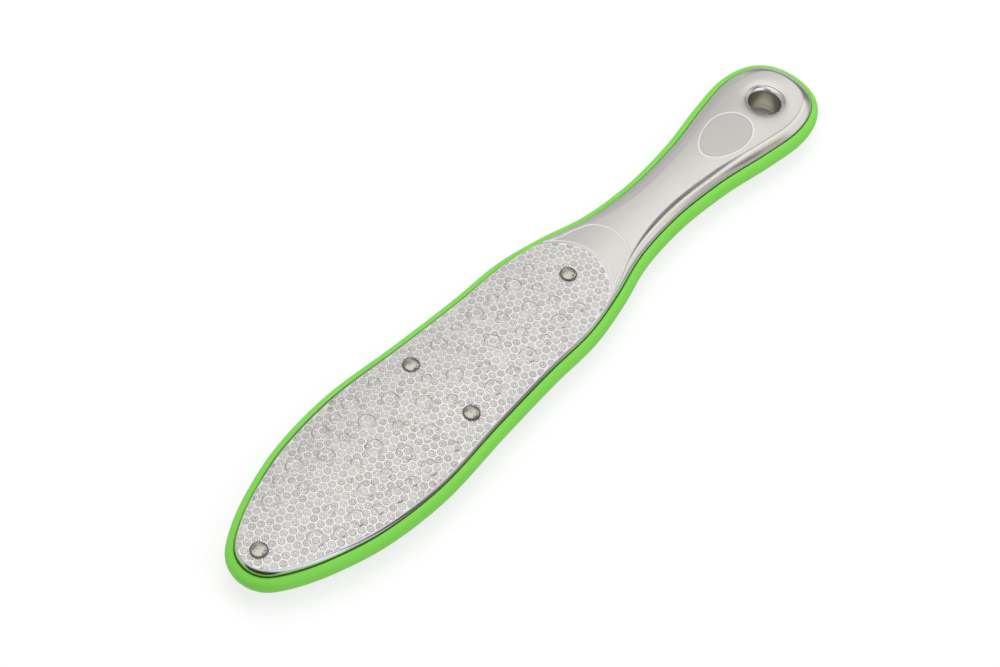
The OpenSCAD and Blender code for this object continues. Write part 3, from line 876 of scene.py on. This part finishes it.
def islands(name, side, comb, material, rivets, with_bumps):
    """Islands round each centre of the honeycomb: a flat face, a shoulder and a foot. Their radius is
    R (1 + 0.03 cos 6a), so that they are slightly six-sided, and the circles on them are a little off
    their middle. A point outside the field is drawn back to its border, so that islands there are cut
    off."""
    segments = 12
    radius = comb["pitch"] * ISLAND_SHARE
    profile = np.array([[0.76, 1.0], [0.82, 0.98], [0.95, 0.6], [1.0, 0.0], [1.0, -0.6]])
    centres = island_centres(comb, radius, rivets)
    hubs = centres + radius * 0.12 * np.random.default_rng(3).standard_normal(centres.shape)
    rng = np.random.default_rng(7)
    tone = rng.random(len(centres))
    size = radius * (0.97 + 0.06 * rng.random(len(centres)))
    angle = np.linspace(0, 2 * np.pi, segments, endpoint=False)
    circle = np.stack([np.cos(angle), np.sin(angle)], -1) * (1 + 0.03 * np.cos(6 * angle))[:, None]
    ring = centres[:, None, None] + (profile[:, 0, None, None] * circle) * size[:, None, None, None]
    xy = np.concatenate([ring.reshape(len(centres), -1, 2), hubs[:, None]], 1)
    xy = field_clamp(xy, FIELD_MARGIN)
    lift = np.concatenate([np.repeat(profile[:, 1], segments), [1.0]]) * ISLAND_H
    rise = bump_rise(xy) if with_bumps else 0
    points = placed(xy[..., 0], xy[..., 1], crown(xy[..., 1], PLATE_T) + rise + lift, side)
    faces = island_faces(len(profile), segments, len(centres), side)
    share = np.concatenate([np.repeat(profile[:, 0], segments), [0.0]])
    values = {"radius_share": np.tile(share, len(centres)), "island_tone": np.repeat(tone, len(share))}
    return make_piece(name, points, faces, material, values=values, merge=False)


def bead(name, side, path, section):
    """Small section carried along a path on the plate: across by the path's normal, up from the sheet."""
    run = np.gradient(path, axis=0)
    normal = np.stack([-run[:, 1], run[:, 0]], -1) / np.linalg.norm(run, axis=1)[:, None]
    xy = path[:, None] + section[None, :, :1] * normal[:, None]
    z = crown(xy[..., 1], PLATE_T) + section[None, :, 1]
    points = placed(xy[..., 0], xy[..., 1], z, side)
    rows, columns = z.shape
    caps = np.stack([np.arange(columns), np.arange(columns) + (rows - 1) * columns])
    faces = [grid_faces(rows, columns, wrap_columns=True), caps]
    return make_piece(name, points, faces, LINE_MATERIAL)


def end_arc(end, radius, gap):
    """Arc that ends a given distance from the tip, as far as it stays a gap inside the crown's border."""
    t = np.radians(np.linspace(-90, 90, 181))
    along = end - radius + radius * np.cos(t)
    across = radius * np.sin(t)
    kept = np.abs(across) < flat_half_width(along) - gap
    return np.stack([along + TIP_X, across], -1)[kept]


def soften(path, step, width):
    """Path with evenly spaced points and rounded corners: each point is the mean of an odd number of
    neighbours, with the path going straight on past both its ends."""
    way = np.concatenate([[0], np.cumsum(np.linalg.norm(np.diff(path, axis=0), axis=1))])
    even = np.linspace(0, way[-1], int(way[-1] / step))
    points = np.stack([np.interp(even, way, path[:, 0]), np.interp(even, way, path[:, 1])], -1)
    past = np.arange(1, width // 2 + 1)[:, None]
    before = points[0] - past[::-1] * (points[1] - points[0])
    after = points[-1] + past * (points[-1] - points[-2])
    long = np.concatenate([before, points, after])
    share = np.full(width, 1 / width)
    return np.stack([np.convolve(axis, share, "valid") for axis in long.T], -1)


def raised_lines(name, side):
    """Raised lines with round shoulders: one round the field's end, and one inside the tab's edge that runs
    on beside the plate's edge to the first."""
    middle = LINE_GAP + LINE_W / 2
    height, foot = 0.13 * MM, -0.1 * MM
    wide = np.linspace(-1, 1, 13)
    top = np.stack([wide * LINE_W / 2, height * (1 - wide**4)], -1)
    section = np.concatenate([top, [[LINE_W / 2, foot], [-LINE_W / 2, foot]]])
    field_arc = end_arc(FIELD_END + middle, FIELD_END_R + middle, 0.2 * MM)
    bead(name + "_field_line", side, field_arc, section)
    arc = end_arc(TAB_END - middle, TAB_END_R - middle, middle)
    d = np.linspace(FIELD_END - 4.8 * MM, TAB_END - TAB_END_R, 20)[:-1]
    turn_in = ease((d - d[0]) / (TAB_END - TAB_END_R - d[0]))
    y = (flat_half_width(d) - middle) * (1 - turn_in) + np.abs(arc[0, 1]) * turn_in
    side_run = np.stack([d + TIP_X, y], -1)
    path = np.concatenate([side_run * [1, -1], arc, side_run[::-1]])
    bead(name + "_tab_line", side, soften(path, 0.2 * MM, 15), section)


# Rivets
def rivet_head(name, side, node):
    """Profile turned round its axis: shank, seat, toothed rim and dome. The rim's radius falls by the tooth
    depth times a rounded wave of the angle, and the dome rises by (1 - (r / R)^2)^0.8."""
    low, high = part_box(node)
    x, y = (low.x + high.x) / 2, (low.y + high.y) / 2
    outer = (high.x - low.x) / 2
    segments = TEETH * 8
    angle = np.linspace(0, 2 * np.pi, segments, endpoint=False)
    wave = 0.5 + 0.5 * np.tanh(1.8 * np.cos(TEETH * angle)) / math.tanh(1.8)
    dome_r = outer - TOOTH_DEPTH - 0.08 * MM
    cap = np.linspace(0, 1, 12)
    profile = np.array([[0.0, -2.4, 0], [1.3, -2.4, 0], [1.3, -0.15, 0], [2.7, -0.15, 0.5]]) * [MM, MM, 1]
    rim = np.array([[outer, -0.2 * MM, 1], [outer, RIM_H * 0.62, 1], [outer - 0.06 * MM, RIM_H * 0.84, 1],
                    [outer - 0.2 * MM, RIM_H, 0.8], [dome_r + 0.05 * MM, RIM_H - 0.04 * MM, 0]])
    foot = RIM_H - 0.03 * MM
    swell = foot + (RIM_H + DOME_H - foot) * (1 - (1 - cap)**2)**0.8
    dome = np.stack([dome_r * (1 - cap), swell, np.zeros(len(cap))], -1)
    rows = np.concatenate([profile, rim, dome])
    r = rows[:, :1] - TOOTH_DEPTH * rows[:, 2:] * wave[None, :]
    height = crown(y, PLATE_T) + rows[:, 1:2]
    points = placed(x + r * np.cos(angle), y + r * np.sin(angle), height, side)
    # Depth share: how far down among the teeth and at the dome's foot, darkened there by grime and painted
    # shade
    depth = np.concatenate([np.ones(len(profile)), [1.0, 0.85, 0.6, 0.4, 0.9], 0.6 * (1 - cap)**4])
    values = {"depth_share": np.repeat(depth, segments)}
    faces = grid_faces(len(rows), segments, wrap_columns=True)
    return make_piece(name, points, [faces], RIVET_MATERIAL, [node], values)


# Hanging hole
def eyelet_skin(name, side, node, barrel):
    """Lining turned round the hole's axis: from the bore a round of radius a leads out to the rim,
    r = bore + a (1 - cos t) and z = top - a (sin T - sin t) for t from 0 to T. The rim's corner is round
    too, and on the front the barrel goes on under it."""
    segments = 128
    angle = np.linspace(0, 2 * np.pi, segments, endpoint=False)
    t = np.radians(np.linspace(0, 90, 7))
    bend = np.radians(np.linspace(0, FLARE_TURN, 14))
    top = SHELL_TOP - FLANGE_DROP
    bottom = -top if barrel else top - 2.2 * MM
    corner = 0.06 * MM
    outer_r = RECESS_R - 0.03 * MM
    around = FLARE / (1 - np.cos(bend[-1]))
    flare_z = top - around * (np.sin(bend[-1]) - np.sin(bend))
    flare = np.stack([HOLE_R + around * (1 - np.cos(bend)), flare_z], -1)
    edge = np.stack([outer_r - corner * (1 - np.sin(t)), top - corner * (1 - np.cos(t))], -1)
    under = top - 0.7 * MM
    barrel_r = HOLE_R + 0.5 * MM
    end_row = 0.1 * MM
    rest = np.array([[outer_r, under], [barrel_r, flare_z[0]], [barrel_r, bottom]])
    bore = np.array([[HOLE_R, bottom], [HOLE_R, bottom + end_row], [HOLE_R, flare_z[0] - end_row]])
    rows = np.concatenate([bore, flare, edge, rest])
    r = rows[:, :1]
    points = placed(HOLE_X + r * np.cos(angle), r * np.sin(angle), rows[:, 1:], side)
    # Depth share down the bore, where painted shade darkens the lining
    depth = np.concatenate([np.ones(len(bore)), np.clip((top - flare_z) / (2 * MM), 0, 1),
                            np.zeros(len(edge) + len(rest))])
    faces = grid_faces(len(rows), segments, wrap_columns=True, wrap_rows=True)
    return make_piece(name, points, [faces], EYELET_MATERIAL, [node],
                      {"depth_share": np.repeat(depth, segments)})


RIVETS = ("tip_rivet", "left_rivet", "right_rivet", "neck_rivet")


def make_object():
    core_rim()
    shell_skin("front_shell_skin", 1, "front_shell")
    shell_skin("rear_shell_skin", -1, "rear_shell")
    plate_skin("coarse_plate_skin", 1, COARSE_MATERIAL, "coarse_plate")
    plate_skin("fine_plate_skin", -1, FINE_MATERIAL, "fine_plate")
    plate_bumps()
    places = []
    for rivet in RIVETS:
        low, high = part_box(rivet + "_stud")
        places.append(((low.x + high.x) / 2, (low.y + high.y) / 2))
        rivet_head(rivet + "_head", 1, rivet + "_stud")
        rivet_head(rivet + "_cap", -1, rivet + "_barrel")
    islands("coarse_islands", 1, COARSE_COMB, COARSE_ISLAND, places, True)
    islands("fine_islands", -1, FINE_COMB, FINE_ISLAND, places, False)
    raised_lines("coarse_plate", 1)
    raised_lines("fine_plate", -1)
    eyelet_skin("eyelet_lining", 1, "hang_eyelet", True)
    eyelet_skin("eyelet_back", -1, "eyelet_ring", False)


# Studio
# Round cards on the floor that only the metal mirrors: middle, radius to which they are full, radius at
# which they end, and colour
FLOOR_CARDS = (
    # Bluish beside the tip, and dark before it
    (-121 * MM, -82 * MM, 38 * MM, 42 * MM, (1.0, 1.05, 1.2, 1)),
    (-165 * MM, -20 * MM, 32 * MM, 36 * MM, (0.03, 0.03, 0.03, 1)),
    # Dark round the foot of the hanging hole's bore, and pale in its middle
    (HOLE_X, 0, 8 * MM, 12 * MM, (0.13, 0.125, 0.11, 1)),
    (HOLE_X, 0, 1.5 * MM, 4.5 * MM, (0.62, 0.6, 0.55, 1)),
)


def make_floor():
    """Pale floor: white, with a glow for the camera that leaves out the spot under the hanging hole. What
    the metal mirrors of it fades with the distance."""
    size = 3
    corners = [(-size, -size, 0), (size, -size, 0), (size, size, 0), (-size, size, 0)]
    mesh = bpy.data.meshes.new("floor")
    mesh.from_pydata(corners, [], [(0, 1, 2, 3)])
    floor = bpy.data.objects.new("floor", mesh)
    bpy.context.scene.collection.objects.link(floor)
    material, board, shader, place = new_material("floor_white")
    board.feed_all(shader, {"Base Color": FLOOR_WHITE, "Roughness": 0.9})
    seen = board.add("LightPath").outputs
    away = board.measure("DISTANCE", place, (HOLE_X, 0, 0))
    past_hole = board.step(away, HOLE_R * 1.5, HOLE_R * 2.5, 0, 0.72)
    share = board.math("MAXIMUM", seen["Is Glossy Ray"], board.times(seen["Is Camera Ray"], past_hole))
    mirrored = board.mix(board.step(seen["Ray Length"], 0.02, 0.25, 0.6, 0.2), BLACK, WHITE)
    for x, y, full, none, colour in FLOOR_CARDS:
        gap = board.measure("DISTANCE", place, (x, y, 0))
        mirrored = board.mix(board.step(gap, none, full), mirrored, colour)
    glow = board.add("Emission", inputs={"Strength": 1.0})
    board.feed(glow.inputs["Color"], board.mix(seen["Is Camera Ray"], mirrored, WHITE))
    nodes = material.node_tree.nodes
    both = board.add("MixShader", inputs={"Fac": share, 1: nodes["Principled BSDF"].outputs["BSDF"],
                                          2: glow.outputs[0]})
    board.feed(nodes["Material Output"].inputs["Surface"], both.outputs[0])
    mesh.materials.append(material)


# What the metal mirrors: long strips beside the file, by their angle over its length, brightness and warmth.
# 0 is overhead, -90 is the horizon on the far side and 90 the horizon on the near side
STRIPS = (
    (-180, 0.6, 0), (-90, 0.64, 0), (-80, 0.56, -0.04), (-70, 0.51, -0.03), (-60, 0.61, 0), (-30, 0.62, 0),
    (-25, 0.76, 0), (-20, 1.02, 0), (-15, 1.05, 0), (-1, 1.05, 0), (11, 1.1, 0), (15, 1.2, 0.03),
    (20, 1.15, 0.07), (27, 0.84, 0.1), (37, 0.64, 0.08), (60, 0.48, 0), (90, 0.42, 0), (180, 0.5, 0))
# Short pieces of strip: angles between which they are full, how soft their sides are, how far along the file
# their direction points where they begin and where they end, and brightness
PATCHES = (
    # Crease at the neck
    (-2, 13, 3, (0.44, 0.54), (0.62, 0.72), 0.12),
    # Near edge of the paddle
    (10, 34, 8, (0.2, 0.26), (0.36, 0.42), 0.2),
    # Far side of the hanging hole
    (-32, -6, 4, (-0.85, -0.7), (0.24, 0.31), 1.05),
    # Near sloping edge of the handle
    (26, 60, 8, (0.5, 0.58), (0.8, 0.9), 0.88),
    # Top of the handle's end
    (-17, -2, 6, (0.57, 0.61), (0.8, 0.9), 0.85),
    # Near side of the dish round the hanging hole
    (-75, -28, 8, (0.62, 0.7), (0.95, 1.0), 0.82),
    # Far border of the plate
    (-80, -34, 8, (-0.3, -0.1), (0.35, 0.5), 0.38),
)
# Round cards in the room: direction, angle to which they are full, angle at which they end, and colour
CARDS = (
    # Bluish on the near side
    ((-0.2, -0.93, 0.3), 25, 28, (1.15, 1.2, 1.4, 1)),
    # Dark past the tip
    ((-0.9, -0.42, 0), 24, 29, (0.03, 0.03, 0.03, 1)),
    # Dark high over the near side
    ((0.2, -0.55, 0.8), 15, 19, (0.03, 0.03, 0.03, 1)),
    # Dark grey past the handle's end
    ((0.93, 0.25, 0.2), 20, 34, (0.25, 0.25, 0.26, 1)),
)


def make_world():
    """Even white light. What the metal mirrors is a room of long grey strips, patches and cards."""
    world = bpy.data.worlds.new("studio")
    bpy.context.scene.world = world
    world.use_nodes = True
    board = Board(world.node_tree)
    direction = board.add("TexCoord").outputs["Generated"]
    axes = board.axes(direction)
    angle = board.math("ARCTAN2", board.times(axes["Y"], -1), axes["Z"])
    shade = board.ramp(board.scaled(angle, 0.5 / math.pi, 0.5), [
        (degrees / 360 + 0.5, (bright, bright * (1 - warmth / 4), bright * (1 - warmth), 1))
        for degrees, bright, warmth in STRIPS])
    turned = board.times(angle, 180 / math.pi)
    for low, high, soft, begin, end, bright in PATCHES:
        beside = board.band(turned, low - soft, low, high, high + soft)
        along = board.band(axes["X"], *begin, *end)
        shade = board.mix(board.times(beside, along), shade, (bright, bright, bright, 1))
    for toward, full, none, colour in CARDS:
        near = board.measure("DOT_PRODUCT", direction, Vector(toward).normalized())
        mask = board.step(near, math.cos(math.radians(none)), math.cos(math.radians(full)))
        shade = board.mix(mask, shade, colour)
    seen = board.add("LightPath").outputs
    lit = board.mix(seen["Is Glossy Ray"], EVEN_LIGHT, shade)
    background = world.node_tree.nodes["Background"]
    board.feed(background.inputs["Color"], board.mix(seen["Is Camera Ray"], lit, WHITE))
    background.inputs["Strength"].default_value = 1


def make_light(name, place, size, power):
    """Square soft light that looks at the middle of the file."""
    lamp = bpy.data.lights.new(name, "AREA")
    lamp.size = size
    lamp.energy = power
    light = bpy.data.objects.new(name, lamp)
    light.visible_glossy = False
    light.location = place
    light.rotation_mode = "QUATERNION"
    light.rotation_quaternion = (-Vector(place)).to_track_quat("-Z", "Y")
    bpy.context.scene.collection.objects.link(light)


make_camera()
make_object()
make_floor()
make_world()
make_light("key_light", (0.35, 0.35, 1.1), 0.8, 6)
make_light("side_light", (0.5, -0.6, 0.9), 0.7, 2)

bpy.context.scene.view_settings.view_transform = "Standard"
